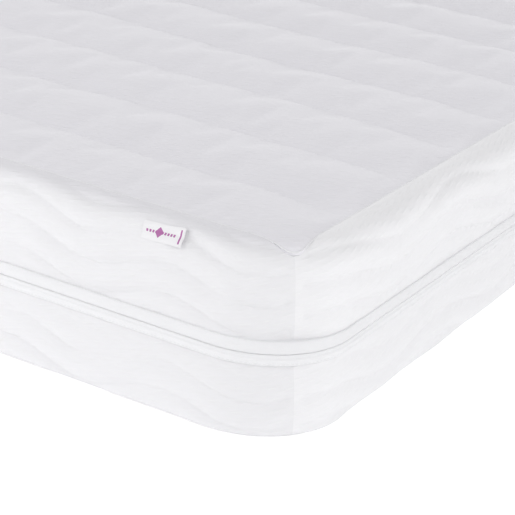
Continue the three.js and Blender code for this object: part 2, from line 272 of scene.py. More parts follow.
def rounded_profile(inset_low, inset_high, z_low, z_high, radius, steps):
    """The outline of a rounded rectangle in inset and z."""
    points = []
    for ci, cz, start in (
        (inset_high - radius, z_high - radius, 0),
        (inset_low + radius, z_high - radius, 1),
        (inset_low + radius, z_low + radius, 2),
        (inset_high - radius, z_low + radius, 3),
    ):
        for k in range(steps + 1):
            a = (start + k / steps) * math.pi / 2
            points.append((ci + radius * math.cos(a), cz + radius * math.sin(a)))
    return points


# ---- Materials ----------------------------------------------------------------------------------


class Nodes:
    """Short calls that add shader nodes to a material."""

    def __init__(self, name):
        self.material = bpy.data.materials.new(name)
        self.material.use_nodes = True
        self.tree = self.material.node_tree
        self.tree.nodes.clear()
        self.shader = self.add("ShaderNodeBsdfPrincipled")
        output = self.add("ShaderNodeOutputMaterial")
        self.link(self.shader.outputs[0], output.inputs["Surface"])

    def add(self, kind, **settings):
        node = self.tree.nodes.new(kind)
        for key, value in settings.items():
            setattr(node, key, value)
        return node

    def link(self, out, into):
        self.tree.links.new(out, into)

    def put(self, value, into):
        if isinstance(value, bpy.types.NodeSocket):
            self.link(value, into)
        else:
            into.default_value = value

    def math(self, operation, a, b=0.0, c=0.0):
        node = self.add("ShaderNodeMath", operation=operation)
        for value, into in zip((a, b, c), node.inputs):
            self.put(value, into)
        return node.outputs[0]

    def mix(self, factor, a, b):
        node = self.add("ShaderNodeMix", data_type="RGBA")
        self.put(factor, node.inputs["Factor"])
        self.put(a, node.inputs["A"])
        self.put(b, node.inputs["B"])
        return node.outputs["Result"]

    def noise(self, vector, scale, detail):
        node = self.add("ShaderNodeTexNoise")
        self.put(vector, node.inputs["Vector"])
        node.inputs["Scale"].default_value = scale
        node.inputs["Detail"].default_value = detail
        return node.outputs["Fac"]

    def flat(self):
        """The cloth's own flat coordinates, in metres."""
        return self.add("ShaderNodeUVMap", uv_map=UV).outputs[0]

    def turned(self, vector, degrees, scale=(1, 1, 1)):
        node = self.add("ShaderNodeMapping")
        self.put(vector, node.inputs["Vector"])
        node.inputs["Rotation"].default_value = (0, 0, -math.radians(degrees))
        node.inputs["Scale"].default_value = scale
        return node.outputs[0]

    def split(self, vector):
        node = self.add("ShaderNodeSeparateXYZ")
        self.put(vector, node.inputs[0])
        return node.outputs

    def wave(self, x, wavelength):
        """A sine of unit height along x."""
        return self.math("SINE", self.math("MULTIPLY", x, 2 * math.pi / wavelength))

    def bump(self, height, distance):
        node = self.add("ShaderNodeBump")
        self.put(height, node.inputs["Height"])
        node.inputs["Distance"].default_value = distance
        node.inputs["Strength"].default_value = 1.0
        return node.outputs[0]

    def finish(self, color, roughness, normal=None, sheen=0.0):
        self.put(color, self.shader.inputs["Base Color"])
        self.put(roughness, self.shader.inputs["Roughness"])
        self.shader.inputs["Sheen Weight"].default_value = sheen
        self.shader.inputs["Sheen Roughness"].default_value = 0.5
        if normal is not None:
            self.link(normal, self.shader.inputs["Normal"])
        return self.material


# The cover is one white knit. Its tones differ a little only so that the brightness of each face
# matches the photo's, and so do PAINTED_ROLL_STARTS and PAINTED_ROLL_FADES, up the border from the zip.
# These tones are one knit's colour with painted light and shade in it: the top and the ends are painted
# darker and the long sides lighter. The rolled top edge is painted darker on the ends and lighter on the long
# sides.
TOP_CLOTH_SHADED = (0.79, 0.78, 0.815, 1)
END_CLOTH_SHADED = (0.795, 0.792, 0.807, 1)
SIDE_CLOTH_LIT = (0.83, 0.827, 0.84, 1)
END_ROLL_SHADED = (0.74, 0.732, 0.765, 1)
SIDE_ROLL_LIT = (0.845, 0.84, 0.858, 1)
PAINTED_ROLL_STARTS = 78 * MM
PAINTED_ROLL_FADES = 18 * MM


def scaled(tone, factor):
    """A lighter or darker tone, with its alpha kept."""
    return tuple(c * factor for c in tone[:3]) + (1,)


def knit_material(name, dash_angle, dash_pitch, depth, tone, painted_roll_tone=None):
    """White double-jersey knit: slanting rows of raised dashes over fine stitches.

    The roll tone, its last argument, is painted light and shade where the cloth rolls over the top edge:
    painted shade on the ends, painted light on the long sides.
    """
    n = Nodes(name)
    flat = n.flat()
    x, y, _ = n.split(n.turned(flat, dash_angle))
    row = n.wave(y, dash_pitch)
    drift = n.math("MULTIPLY", n.noise(flat, 90, 1), 12 * MM)
    broken = n.wave(n.math("ADD", n.math("ADD", x, drift), n.math("MULTIPLY", y, 1.7)), 21 * MM)
    dash = n.math("MULTIPLY", n.math("MAXIMUM", row, 0.0), n.math("ADD", broken, 1.1))
    fx, fy, _ = n.split(flat)
    stitch = n.math("MULTIPLY", n.wave(fx, 1.5 * MM), n.wave(fy, 1.3 * MM))
    fuzz = n.noise(flat, 900, 2)
    height = n.math("ADD", n.math("MULTIPLY", dash, 0.5), n.math("MULTIPLY", stitch, 0.16))
    height = n.math("ADD", height, n.math("MULTIPLY", fuzz, 0.35))
    normal = n.bump(height, depth)
    shade = n.math("MULTIPLY_ADD", dash, 0.10, n.math("MULTIPLY", n.noise(flat, 14, 3), 0.16))
    dark = (tone[0] * 0.95, tone[1] * 0.95, tone[2] * 0.96, 1)
    color = n.mix(n.math("ADD", shade, 0.35), dark, scaled(tone, 1.03))
    # Painted light and shade on the rolled top edge: from where the roll starts, the colour blends up the
    # border into the roll tone.
    if painted_roll_tone:
        over = n.math("DIVIDE", n.math("SUBTRACT", fy, PAINTED_ROLL_STARTS), PAINTED_ROLL_FADES)
        color = n.mix(over, color, painted_roll_tone)
    rough = n.math("MULTIPLY_ADD", fuzz, 0.15, 0.78)
    return n.finish(color, rough, normal, sheen=0.15)


def weave_material(name, tone, thread, slant=0.0, depth=0.25 * MM):
    """Plain or twill weave of threads of the given pitch."""
    n = Nodes(name)
    flat = n.turned(n.flat(), slant)
    x, y, _ = n.split(flat)
    over = n.math("MULTIPLY", n.wave(x, thread), n.wave(y, thread))
    fuzz = n.noise(flat, 1.5 / thread, 2)
    height = n.math("ADD", over, n.math("MULTIPLY", fuzz, 0.6))
    color = n.mix(n.math("MULTIPLY_ADD", over, 0.22, fuzz), scaled(tone, 0.92), tone)
    return n.finish(color, n.math("MULTIPLY_ADD", fuzz, 0.2, 0.75), n.bump(height, depth), sheen=0.1)


def herringbone_material(name, tone):
    """Zip tape: narrow columns of threads that slant to and fro."""
    n = Nodes(name)
    x, y, _ = n.split(n.flat())
    zigzag = n.math("PINGPONG", y, 2.5 * MM)
    thread = n.wave(n.math("ADD", x, zigzag), 1.1 * MM)
    fuzz = n.noise(n.flat(), 1100, 2)
    height = n.math("ADD", thread, fuzz)
    color = n.mix(n.math("MULTIPLY_ADD", thread, 0.2, fuzz), scaled(tone, 0.86), tone)
    return n.finish(color, 0.7, n.bump(height, 0.2 * MM), sheen=0.1)


def foam_material(name, tone, cell):
    """Open-cell foam: fine pits of two sizes in a matt, slightly uneven colour, with painted shade in the
    pits.
    """
    n = Nodes(name)
    place_of = n.add("ShaderNodeTexCoord").outputs["Object"]
    pits = n.add("ShaderNodeTexVoronoi", feature="F1")
    n.link(place_of, pits.inputs["Vector"])
    pits.inputs["Scale"].default_value = 1 / cell
    fine = n.noise(place_of, 2.2 / cell, 3)
    height = n.math("ADD", pits.outputs["Distance"], n.math("MULTIPLY", fine, 0.6))
    patch = n.noise(place_of, 5, 3)
    # Painted shade: the colour is darker in the pits, and it also varies in soft patches.
    shade = n.math("MULTIPLY_ADD", pits.outputs["Distance"], 0.5, patch)
    color = n.mix(shade, scaled(tone, 0.8), tone)
    return n.finish(color, n.math("MULTIPLY_ADD", fine, 0.1, 0.88), n.bump(height, 0.6 * MM))


def fibre_material(name, tone):
    """Wadding: tangled fibres, as stretched noise in three directions."""
    n = Nodes(name)
    flat = n.flat()
    strands = 0.0
    for degrees in (15, 75, 140):
        strands = n.math("ADD", n.noise(n.turned(flat, degrees, (30, 900, 1)), 1.0, 2), strands)
    color = n.mix(n.math("MULTIPLY", strands, 0.5), scaled(tone, 0.85), tone)
    return n.finish(color, 0.95, n.bump(strands, 1.2 * MM), sheen=0.2)


def nylon_material(name, tone):
    """Smooth moulded or spun nylon, with a fine grain."""
    n = Nodes(name)
    place_of = n.add("ShaderNodeTexCoord").outputs["Object"]
    grain = n.noise(place_of, 1500, 2)
    color = n.mix(grain, scaled(tone, 0.9), tone)
    return n.finish(color, n.math("MULTIPLY_ADD", grain, 0.15, 0.32), n.bump(grain, 0.05 * MM))


def lacquer_material(name, tone):
    """White lacquer on die-cast zinc, rubbed a little on its edges."""
    n = Nodes(name)
    place_of = n.add("ShaderNodeTexCoord").outputs["Object"]
    edge = n.add("ShaderNodeNewGeometry").outputs["Pointiness"]
    worn = n.math("MULTIPLY", n.math("GREATER_THAN", edge, 0.58), n.noise(place_of, 700, 3))
    peel = n.noise(place_of, 900, 2)
    color = n.mix(worn, tone, (0.45, 0.45, 0.47, 1))
    return n.finish(color, n.math("MULTIPLY_ADD", peel, 0.12, 0.24), n.bump(peel, 0.03 * MM))


PURPLE = (0.36, 0.09, 0.30, 1)
PURPLE_THREAD = (0.5, 0.2, 0.44, 1)
SATIN = (0.775, 0.77, 0.79, 1)
SATIN_THREAD = (0.83, 0.825, 0.845, 1)
LABEL_W, LABEL_H = 42 * MM, 15 * MM


def label_material():
    """Woven satin with a purple bar, a lozenge and a row of plain dashes, which spell nothing."""
    n = Nodes("woven_label")
    x, y, _ = n.split(n.flat())

    def between(value, low, high):
        return n.math(
            "MULTIPLY", n.math("GREATER_THAN", value, low), n.math("LESS_THAN", value, high)
        )

    bar = n.math("MULTIPLY", between(x, 38 * MM, 39.6 * MM), between(y, 2 * MM, 13 * MM))
    cell = n.math("MODULO", x, 3.1 * MM)
    dashes = n.math("MULTIPLY", between(cell, 0.5 * MM, 2.5 * MM), between(y, 6.3 * MM, 8.6 * MM))
    dashes = n.math("MULTIPLY", dashes, between(x, 3.1 * MM, 34 * MM))
    lozenge_x = n.math("ABSOLUTE", n.math("SUBTRACT", x, 17 * MM))
    lozenge_y = n.math("ABSOLUTE", n.math("SUBTRACT", y, 7.5 * MM))
    lozenge = n.math("LESS_THAN", n.math("ADD", lozenge_x, lozenge_y), 4.6 * MM)
    mark = n.math("MAXIMUM", n.math("MAXIMUM", bar, dashes), lozenge)
    thread = n.wave(x, 0.35 * MM)
    cross = n.wave(y, 0.35 * MM)
    ground = n.mix(n.math("MULTIPLY_ADD", thread, 0.25, 0.5), SATIN, SATIN_THREAD)
    ink = n.mix(n.math("MULTIPLY_ADD", cross, 0.3, 0.4), PURPLE, PURPLE_THREAD)
    color = n.mix(mark, ground, ink)
    height = n.math("ADD", n.math("MULTIPLY", thread, cross), n.math("MULTIPLY", mark, 0.8))
    return n.finish(color, 0.5, n.bump(height, 0.015 * MM), sheen=0.1)


LOOK = {
    # The knit tones carry painted light and shade: the top and the ends are painted darker and the long sides
    # lighter, each copy toned for its face.
    "knit_top_shaded": knit_material("knit_top_shaded", 42, 4.7 * MM, 0.27 * MM, TOP_CLOTH_SHADED),
    "knit_end_shaded": knit_material("knit_end_shaded", 16, 5.5 * MM, 0.25 * MM, END_CLOTH_SHADED, END_ROLL_SHADED),
    "knit_side_lit": knit_material("knit_side_lit", 16, 5.5 * MM, 0.25 * MM, SIDE_CLOTH_LIT, SIDE_ROLL_LIT),
    "binding": weave_material("binding", (0.90, 0.90, 0.92, 1), 0.9 * MM, 45, 0.12 * MM),
    "seam": weave_material("seam", (0.86, 0.86, 0.88, 1), 0.8 * MM, 30, 0.05 * MM),
    "lining": weave_material("lining", (0.74, 0.74, 0.76, 1), 1.2 * MM),
    "wadding": fibre_material("wadding", (0.86, 0.86, 0.85, 1)),
    "tape": herringbone_material("tape", (0.78, 0.78, 0.8, 1)),
    "chain": nylon_material("chain", (0.74, 0.74, 0.77, 1)),
    "thread": nylon_material("thread", (0.82, 0.82, 0.84, 1)),
    "slider": lacquer_material("slider", (0.78, 0.78, 0.8, 1)),
    "label": label_material(),
    "care_label": weave_material("care_label", (0.86, 0.86, 0.85, 1), 0.5 * MM, depth=0.08 * MM),
    "liner": knit_material("liner", 0, 4 * MM, 0.2 * MM, (0.80, 0.79, 0.75, 1)),
    "base_foam": foam_material("base_foam", (0.62, 0.6, 0.54, 1), 2.2 * MM),
    "rail_foam": foam_material("rail_foam", (0.42, 0.55, 0.68, 1), 1.8 * MM),
    "zone_foam": foam_material("zone_foam", (0.80, 0.74, 0.58, 1), 2 * MM),
    "top_foam": foam_material("top_foam", (0.86, 0.80, 0.66, 1), 1.2 * MM),
}


def piece(obj, look, body, node=None):
    """Finishes a piece: its material, what it moves with and the CAD node it stands for."""
    obj.data.materials.clear()
    obj.data.materials.append(LOOK[look])
    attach(obj, body)
    if node:
        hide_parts(node)


# ---- The seam round the top ---------------------------------------------------------------------

SEAM_INSET = TOP_RADIUS + GAP + 1.2 * MM
SEAM_CORNER = 14 * MM
SEAM_SINK = 1.6 * MM
ROLL_Z = UPPER_TOP - TOP_RADIUS


def roll_height(inset):
    """Height of the cover's rounded top edge at an inset, before padding."""
    over = 1 - np.clip(inset / TOP_RADIUS, 0, 1)
    return ROLL_Z + TOP_RADIUS * np.sqrt(1 - over**2)


def seam_inset(s):
    """Inset of the seam. Its corners are sharper than the mattress's, so they come nearer the edge."""
    _, normals = outline_at(s)
    steep = np.abs(normals).max(1)
    flat = np.abs(normals).min(1)
    line = CORNER - SEAM_INSET
    centre = line - SEAM_CORNER
    reach = centre * (steep + flat)
    arc = reach + np.sqrt(np.clip(SEAM_CORNER**2 - 2 * centre**2 + reach**2, 0, None))
    on_line = line / steep
    distance = np.where(on_line * flat <= centre, on_line, arc)
    return np.where(flat > 1e-9, CORNER - distance, SEAM_INSET)


def edge_seam():
    """A fine turned seam, gathered a little between its stitches."""
    s = stations(0, PERIMETER, 2.5 * MM)[:-1]
    inset = seam_inset(s)[:, None]
    z = roll_height(inset) - SEAM_SINK
    angle = np.linspace(0, 2 * math.pi, 9)[None, :-1]
    width = 0.9 * MM * (1 + 0.12 * np.sin(2 * math.pi * s / (7 * MM)))[:, None]
    rings = place(s, inset + width * np.cos(angle), z + 0.9 * width * np.sin(angle) - 0.25 * MM)
    uv = grid_of(s[:, None], angle * 1.3 * MM)
    return tube("top_edge_seam_turned", rings, uv, closed=True)


# ---- Top panel ----------------------------------------------------------------------------------

FIRST_GROOVE = 133 * MM
GROOVES = 16
VALLEY_DEPTH = 6.4 * MM
ROWS_PER_PILLOW = 18
PANEL_COLUMNS = 200
END_BEND = 20 * MM
TIP_DEPTH = 1.6 * MM
# The simulation is gentle: stronger settings folded the pillows, which the photo doesn't show.
CLOTH_FRAMES = 14
CLOTH_QUALITY = 5
CLOTH_SLACK = 0.004
CLOTH_PRESSURE = 1.0
CLOTH_STIFFNESS = 3
CLOTH_CAP = 2 * MM
PANEL_UNDER = extent("top_panel", 2)[0]


def panel_half_width(y):
    """Half the panel's width at y, less where its corners are rounded."""
    past = np.clip(np.abs(y) - (HALF_L - SEAM_INSET - SEAM_CORNER), 0, SEAM_CORNER)
    return HALF_W - SEAM_INSET - SEAM_CORNER + np.sqrt(SEAM_CORNER**2 - past**2)


def outline_inset(x, y):
    """How far in from the mattress's outline a point lies."""
    over_x = np.clip(np.abs(x) - (HALF_W - CORNER), 0, None)
    over_y = np.clip(np.abs(y) - (HALF_L - CORNER), 0, None)
    in_corner = (over_x > 0) & (over_y > 0)
    from_side = np.minimum(HALF_W - np.abs(x), HALF_L - np.abs(y))
    return np.where(in_corner, CORNER - np.hypot(over_x, over_y), from_side)


def settle(grid, stitched):
    """Inflates the quilted cloth a little by cloth simulation, held at its stitches.

    Points that it moves further than CLOTH_CAP are drawn back to that distance.
    """
    scene = bpy.context.scene
    nu, nv = grid.shape[:2]
    sheet = make("settling_cloth", grid, quad_grid(nu, nv), grid[..., :2])
    held = sheet.vertex_groups.new(name="stitched")
    held.add(np.flatnonzero(np.broadcast_to(stitched, (nu, nv))).tolist(), 1.0, "REPLACE")
    cloth = sheet.modifiers.new("cloth", "CLOTH")
    cloth.settings.quality = CLOTH_QUALITY
    cloth.settings.mass = 0.3
    cloth.settings.tension_stiffness = 20
    cloth.settings.compression_stiffness = 20
    cloth.settings.shear_stiffness = 8
    cloth.settings.bending_stiffness = CLOTH_STIFFNESS
    cloth.settings.vertex_group_mass = "stitched"
    cloth.settings.shrink_min = -CLOTH_SLACK
    cloth.settings.use_pressure = True
    cloth.settings.uniform_pressure_force = CLOTH_PRESSURE
    cloth.settings.effector_weights.gravity = 0
    cloth.collision_settings.use_collision = False
    cloth.point_cache.frame_start = 1
    cloth.point_cache.frame_end = CLOTH_FRAMES
    for frame_number in range(1, CLOTH_FRAMES + 1):
        scene.frame_set(frame_number)
    shaped = sheet.evaluated_get(bpy.context.evaluated_depsgraph_get()).data
    points = np.zeros(nu * nv * 3, np.float32)
    shaped.vertices.foreach_get("co", points)
    moved = points.reshape(nu, nv, 3).astype(float) - grid
    far = np.linalg.norm(moved, axis=-1, keepdims=True)
    moved = moved * np.minimum(1, CLOTH_CAP / np.maximum(far, 1e-9))
    mesh = sheet.data
    bpy.data.objects.remove(sheet)
    bpy.data.meshes.remove(mesh)
    scene.frame_set(1)
    return grid + moved


def panel_rows(end):
    """Rows of points, closer together at the grooves, and where each lies across its pillow, 0 to 1."""
    pitch = (2 * HALF_L - 2 * FIRST_GROOVE) / (GROOVES - 1)
    lines = [-end] + [FIRST_GROOVE - HALF_L + k * pitch for k in range(GROOVES)] + [end]
    step = (1 - np.cos(np.linspace(0, math.pi, ROWS_PER_PILLOW + 1))) / 2
    rows, share = [], []
    for low, high in zip(lines, lines[1:]):
        rows.extend(low + (high - low) * step[:-1])
        share.extend(step[:-1])
    return np.array(rows + [end]), np.array(share + [1.0]), lines[-2]


def top_panel():
    """The quilted top: pillows across it, drawn down at the grooves and to the seam round its rim."""
    end = HALF_L - SEAM_INSET
    rows, share, last_groove = panel_rows(end)
    columns = np.linspace(-1, 1, PANEL_COLUMNS)
    x = columns[None, :] * panel_half_width(rows)[:, None]
    y = np.repeat(rows[:, None], len(columns), 1)
    from_side = panel_half_width(rows)[:, None] - np.abs(x)
    from_end = end - np.abs(y)
    # Towards the sides the lines swing a little to the foot end.
    swing = END_BEND * np.clip(1 - from_side / (100 * MM), 0, 1) ** 2
    y = y - swing * smooth(0, 90 * MM, from_end)
    y = y + 1.6 * MM * ripples(x, y, 260 * MM, 3) * smooth(0, 60 * MM, from_end)
    inside = np.clip(np.minimum(from_side, end - np.abs(y)), 0, None)
    pillow = 1 - np.abs(2 * share - 1) ** 2
    rim = 1 - np.clip(1 - inside / (58 * MM), 0, 1) ** 2
    rise = np.sqrt(rim)
    crest = SEAM_SINK + 1.2 * MM
    depth = VALLEY_DEPTH * (1 + 0.18 * ripples(x, y, 300 * MM, 5))
    # Near the sides the cloth is drawn down more behind each line, in tips of different lengths.
    tip_length = 26 * MM * (1 + 0.3 * ripples(x, y, 180 * MM, 11))
    drawn = np.exp(-(((from_side - 52 * MM) / tip_length) ** 2))
    tip = np.exp(-(((share[:, None] - 0.13) / 0.1) ** 2))
    tip = tip * (np.abs(y) < last_groove + 20 * MM)
    base = roll_height(outline_inset(x, y)) - SEAM_SINK
    z = base + rise * crest - depth * (1 - pillow[:, None]) * rim
    z = z - TIP_DEPTH * drawn * tip + 0.35 * MM * ripples(x, y, 70 * MM, 8) * rim
    # The seam gathers the cloth a little, in small tucks square to it.
    along = np.where(from_side < from_end, y, x)
    tuck = np.sin(2 * math.pi * along / (17 * MM) + 3 * ripples(x, y, 150 * MM, 9))
    z = z + 0.35 * MM * tuck * np.exp(-inside / (11 * MM)) * smooth(0, 4 * MM, inside)
    outer = np.stack([x, y, z], -1)
    stitched = (share[:, None] == 0) | (inside < 1 * MM)
    outer = settle(outer, stitched)
    inner = np.stack([x, y, np.minimum(PANEL_UNDER, outer[..., 2] - 3 * MM)], -1)
    return shell("quilted_top_panel", outer, inner, np.stack([x, y], -1))


# ---- Borders ------------------------------------------------------------------------------------

QUILT_PITCH = 28 * MM
QUILT_WAVE = 10 * MM
QUILT_DEPTH = 3.6 * MM
# As the fitted camera sees them, the waves of the long sides are longer than those of the ends.
WAVELENGTH = {"foot": 162 * MM, "right": 231 * MM, "head": 162 * MM, "left": 231 * MM}
# Where a wave has its crest, from the side's first corner seam, and how high its first line lies
CREST_FROM_SEAM = {"foot": 747 * MM, "right": 271 * MM, "head": 747 * MM, "left": 271 * MM}
UPPER_LINE_Z = {"foot": 103 * MM, "right": 109 * MM, "head": 103 * MM, "left": 109 * MM}
LOWER_LINE_Z = {"foot": 41.6 * MM, "right": 31 * MM, "head": 41.6 * MM, "left": 31 * MM}
STEP_ALONG = 2.8 * MM
STEP_UP = 2.2 * MM
UPPER_ROWS = 49
BORDER_BULGE = 2.0 * MM
BORDER_SET_BACK = 2.2 * MM
SEAM_DIP = 3.4 * MM
SEAM_DIP_WIDTH = 34 * MM
# The corner seams lean, as the one in the photo does.
SEAM_LEAN = 14 * MM
LEAN_TOP = 160 * MM
LOWER_ROLL = 5 * MM
LABEL_X = sum(extent("woven_label", 0)) / 2
FOLD_LENGTH = 75 * MM
FOLD_TOP = 172 * MM
FOLD_DROP = 22 * MM
FOLD_DEPTH = 2.6 * MM


def lean(side, s, z):
    """Moves the ends of a side's border along the outline with height."""
    begin, stop = side_range(side)
    near_end = np.exp(-((np.minimum(s - begin, stop - s) / (70 * MM)) ** 2))
    return s + SEAM_LEAN * np.clip(1 - z / LEAN_TOP, 0, 1) * near_end


def quilting(side, s, v, line_z, low, high):
    """How far the quilted cloth stands proud of its stitched lines, at height v along the border."""
    begin, stop = side_range(side)
    crest = begin + CREST_FROM_SEAM[side]
    wave = QUILT_WAVE * np.cos(2 * math.pi * (s - crest) / WAVELENGTH[side])
    wave = wave * (1 + 0.08 * ripples(s, 0 * s, 400 * MM, 21))
    t = np.mod((v - wave - line_z) / QUILT_PITCH, 1)
    pillow = (4 * t * (1 - t)) ** 0.85
    faint = 0.45 + 0.55 * smooth(8 * MM, 46 * MM, high - v)
    rim = smooth(0, 8 * MM, v - low) * smooth(0, 9 * MM, high - v) * faint
    uneven = 1 + 0.15 * ripples(s, v, 90 * MM, 22)
    height = QUILT_DEPTH * (pillow * uneven - 1) + 0.3 * MM * ripples(s, v, 38 * MM, 23)
    from_seam = np.minimum(s - begin, stop - s)
    apart = np.clip(from_seam / SEAM_DIP_WIDTH, 0, 1)
    edge = 0.55 * smooth(0, 1, apart) + 0.45 * np.sin(math.pi / 2 * apart)
    # Small tucks run out from the corner seam.
    tuck = np.sin(2 * math.pi * v / (15 * MM) + 2 * ripples(s, v, 80 * MM, 24))
    height = height + 0.5 * MM * tuck * np.exp(-from_seam / (9 * MM)) * edge
    height = height * rim * smooth(0, 10 * MM, from_seam) - SEAM_DIP * (1 - edge)
    return height + (label_fold(s, v) if side == "foot" else 0)


def label_fold(s, v):
    """A fold in the border that runs down from the free end of the label."""
    start = STARTS["foot"] + LABEL_X + HALF_W - CORNER + LABEL_W / 2
    along = (s - start) / FOLD_LENGTH
    off = v - (FOLD_TOP - FOLD_DROP * along)
    reach = smooth(-0.06, 0.06, along) * (1 - smooth(0.25, 1.0, along))
    across = off / (5 * MM + 5 * MM * np.clip(along, 0, 1))
    return reach * FOLD_DEPTH * (0.6 * np.exp(-((across - 0.9) ** 2)) - np.exp(-(across**2)))


def upper_surface(side, s, share, lift=0.0):
    """The upper border's outer face, and a point of it lifted. share runs from the zip to the seam."""
    ends_at = seam_inset(s[:, 0])[:, None] - 0.2 * MM
    end_turn = np.arccos(1 - np.minimum(ends_at / TOP_RADIUS, 1))
    upright = ROLL_Z - UPPER_BOTTOM
    total = upright + TOP_RADIUS * end_turn + np.clip(ends_at - TOP_RADIUS, 0, None)
    v = share * total
    turn = np.clip((v - upright) / TOP_RADIUS, 0, math.pi / 2)
    past = np.clip(v - upright - TOP_RADIUS * math.pi / 2, 0, None)
    inset = TOP_RADIUS * (1 - np.cos(turn)) + past
    z = UPPER_BOTTOM + np.minimum(v, upright) + TOP_RADIUS * np.sin(turn)
    top = UPPER_BOTTOM + total
    proud = quilting(side, s, v + UPPER_BOTTOM, UPPER_LINE_Z[side], UPPER_BOTTOM, top)
    bulge = (BORDER_BULGE + BORDER_SET_BACK) * np.sin(math.pi * share) ** 0.6
    sink = (SEAM_SINK - BORDER_SET_BACK) * (1 - smooth(0, 14 * MM, total - v))
    out = proud + bulge - BORDER_SET_BACK - sink + lift
    where = lean(side, s + 0 * v, z)
    outer = spot(where, inset - out * np.cos(turn), z + out * np.sin(turn))
    depth = WALL - 0.8 * MM
    inner = spot(where, inset + depth * np.cos(turn), z - depth * np.sin(turn))
    return outer, inner, v


def upper_border(side):
    s = stations(*side_range(side), STEP_ALONG)[:, None]
    share = np.linspace(0, 1, UPPER_ROWS)[None, :]
    outer, inner, v = upper_surface(side, s, share)
    uv = grid_of(s, v)
    return shell(f"quilted_upper_border_{side}", outer, inner, uv)


def lower_border(side):
    s = stations(*side_range(side), STEP_ALONG)[:, None]
    under = LOWER_ROLL * math.pi / 2
    total = LOWER_TOP - LOWER_BOTTOM - LOWER_ROLL + under
    v = stations(0, total, STEP_UP)[None, :]
    turn = np.clip((under - v) / LOWER_ROLL, 0, math.pi / 2)
    inset = LOWER_ROLL * (1 - np.cos(turn))
    z = LOWER_BOTTOM + LOWER_ROLL * (1 - np.sin(turn)) + np.maximum(v - under, 0)
    height = v + LOWER_TOP - total
    proud = quilting(side, s, height, LOWER_LINE_Z[side], LOWER_TOP - total, LOWER_TOP)
    bulge = (BORDER_BULGE + BORDER_SET_BACK) * np.sin(math.pi * np.clip(v / total, 0, 1)) ** 0.6
    out = (proud + bulge - BORDER_SET_BACK) * smooth(0, 1, np.cos(turn) * 1.4)
    where = lean(side, s + 0 * v, z + 0 * s)
    outer = spot(where, inset - out, z)
    depth = np.maximum(inset + 0.4 * MM, WALL - 0.4 * MM)
    inner = spot(where, depth, np.maximum(z, 0.6 * MM))
    uv = grid_of(s, v)
    return shell(f"quilted_lower_border_{side}", outer, inner, uv)


quilted = [(top_panel(), "top_panel", "upper_cover", "knit_top_shaded")]
for side in SIDES:
    # The ends take the knit copy with painted shade, and the long sides take the copy with painted light.
    knit = "knit_end_shaded" if side in ("foot", "head") else "knit_side_lit"
    quilted.append((upper_border(side), f"upper_border_{side}", "upper_cover", knit))
    quilted.append((lower_border(side), f"lower_border_{side}", "lower_cover", knit))
for obj, node, body, look in quilted:
    piece(obj, look, body, node)
piece(edge_seam(), "seam", "upper_cover", "top_edge_seam")

# ---- Zip ----------------------------------------------------------------------------------------

TOOTH_PITCH = 2.4 * MM
UPPER_REACH = 3.7 * MM
LOWER_REACH = 6.2 * MM
LOWER_DENT = 0.6 * MM
FLAP_BACK = 2.2 * MM
BINDING_SWELL = 0.9 * MM
STITCH_PITCH = 4 * MM
STITCH_HALF = 1.35 * MM
STITCH_RADIUS = 0.32 * MM
TOOTH_BACK = 1.15 * MM
TAPE_THICK = 1 * MM
# Half width along the zip, height from root to tip, and half depth of each ring of a tooth, the
# first and third in millimetres
TOOTH_RINGS = ((0.85, 0.0, 0.9), (0.62, 0.45, 1.0), (0.8, 0.75, 1.0), (0.55, 1.0, 0.75))


def left_side_s(y):
    """Distance along the outline of a place on the left side."""
    return STARTS["left"] + HALF_L - CORNER - y


ZIP_START = left_side_s(PATCH_LOW - GAP)
ZIP_STOP = left_side_s(PATCH_HIGH + GAP) + PERIMETER


def clear_of_slider(s):
    """1 where the bindings may lean over the teeth, 0 along the left side, where the slider runs."""
    from_left = np.abs(np.mod(s - left_side_s(0) + PERIMETER / 2, PERIMETER) - PERIMETER / 2)
    clear = HALF_L - CORNER + 30 * MM
    return smooth(clear, clear + 60 * MM, from_left)


def binding(name, edge_z, back_z, reach, dent):
    """A knit strip folded over the border's edge, whose lip hangs over the teeth as a thin flap."""
    s = stations(0, PERIMETER, 4 * MM)[:-1]
    up = 1 if back_z > edge_z else -1
    tall = abs(back_z - edge_z)
    # Inset, height over the edge, and how much of the lip's lean each point takes
    profile = [(WALL, 0.0, 0.0), (FLAP_BACK, 0.0, 0.0), (FLAP_BACK, 0.3 * MM, 0.8)]
    for k in range(7):
        a = math.pi * k / 6
        profile.append((FLAP_BACK / 2 + FLAP_BACK / 2 * math.cos(a), 1.1 * MM * (1 - math.sin(a)), 1.0))
    for share in np.linspace(0.06, 0.94, 12):
        swell = BINDING_SWELL * math.sin(math.pi * share) - dent * math.exp(-(((share - 0.19) / 0.06) ** 2))
        profile.append((-swell, 1.1 * MM + share * (tall - 1.1 * MM), 1 - share))
    profile += [(0.5 * MM, tall, 0.0), (WALL, tall, 0.0)]
    profile = np.array(profile)
    wave = 0.2 * MM * np.sin(2 * math.pi * s / (11 * MM))[:, None]
    inset = profile[None, :, 0] - wave * (profile[None, :, 0] < FLAP_BACK / 2)
    z = edge_z + up * (profile[None, :, 1] - reach * clear_of_slider(s)[:, None] * profile[None, :, 2])
    rings = place(s, inset, z)
    around = np.cumsum(np.concatenate([[0], np.hypot(*np.diff(profile[:, :2], axis=0).T)]))
    uv = grid_of(s[:, None], around[None, :])
    return tube(name, rings, uv, closed=True)


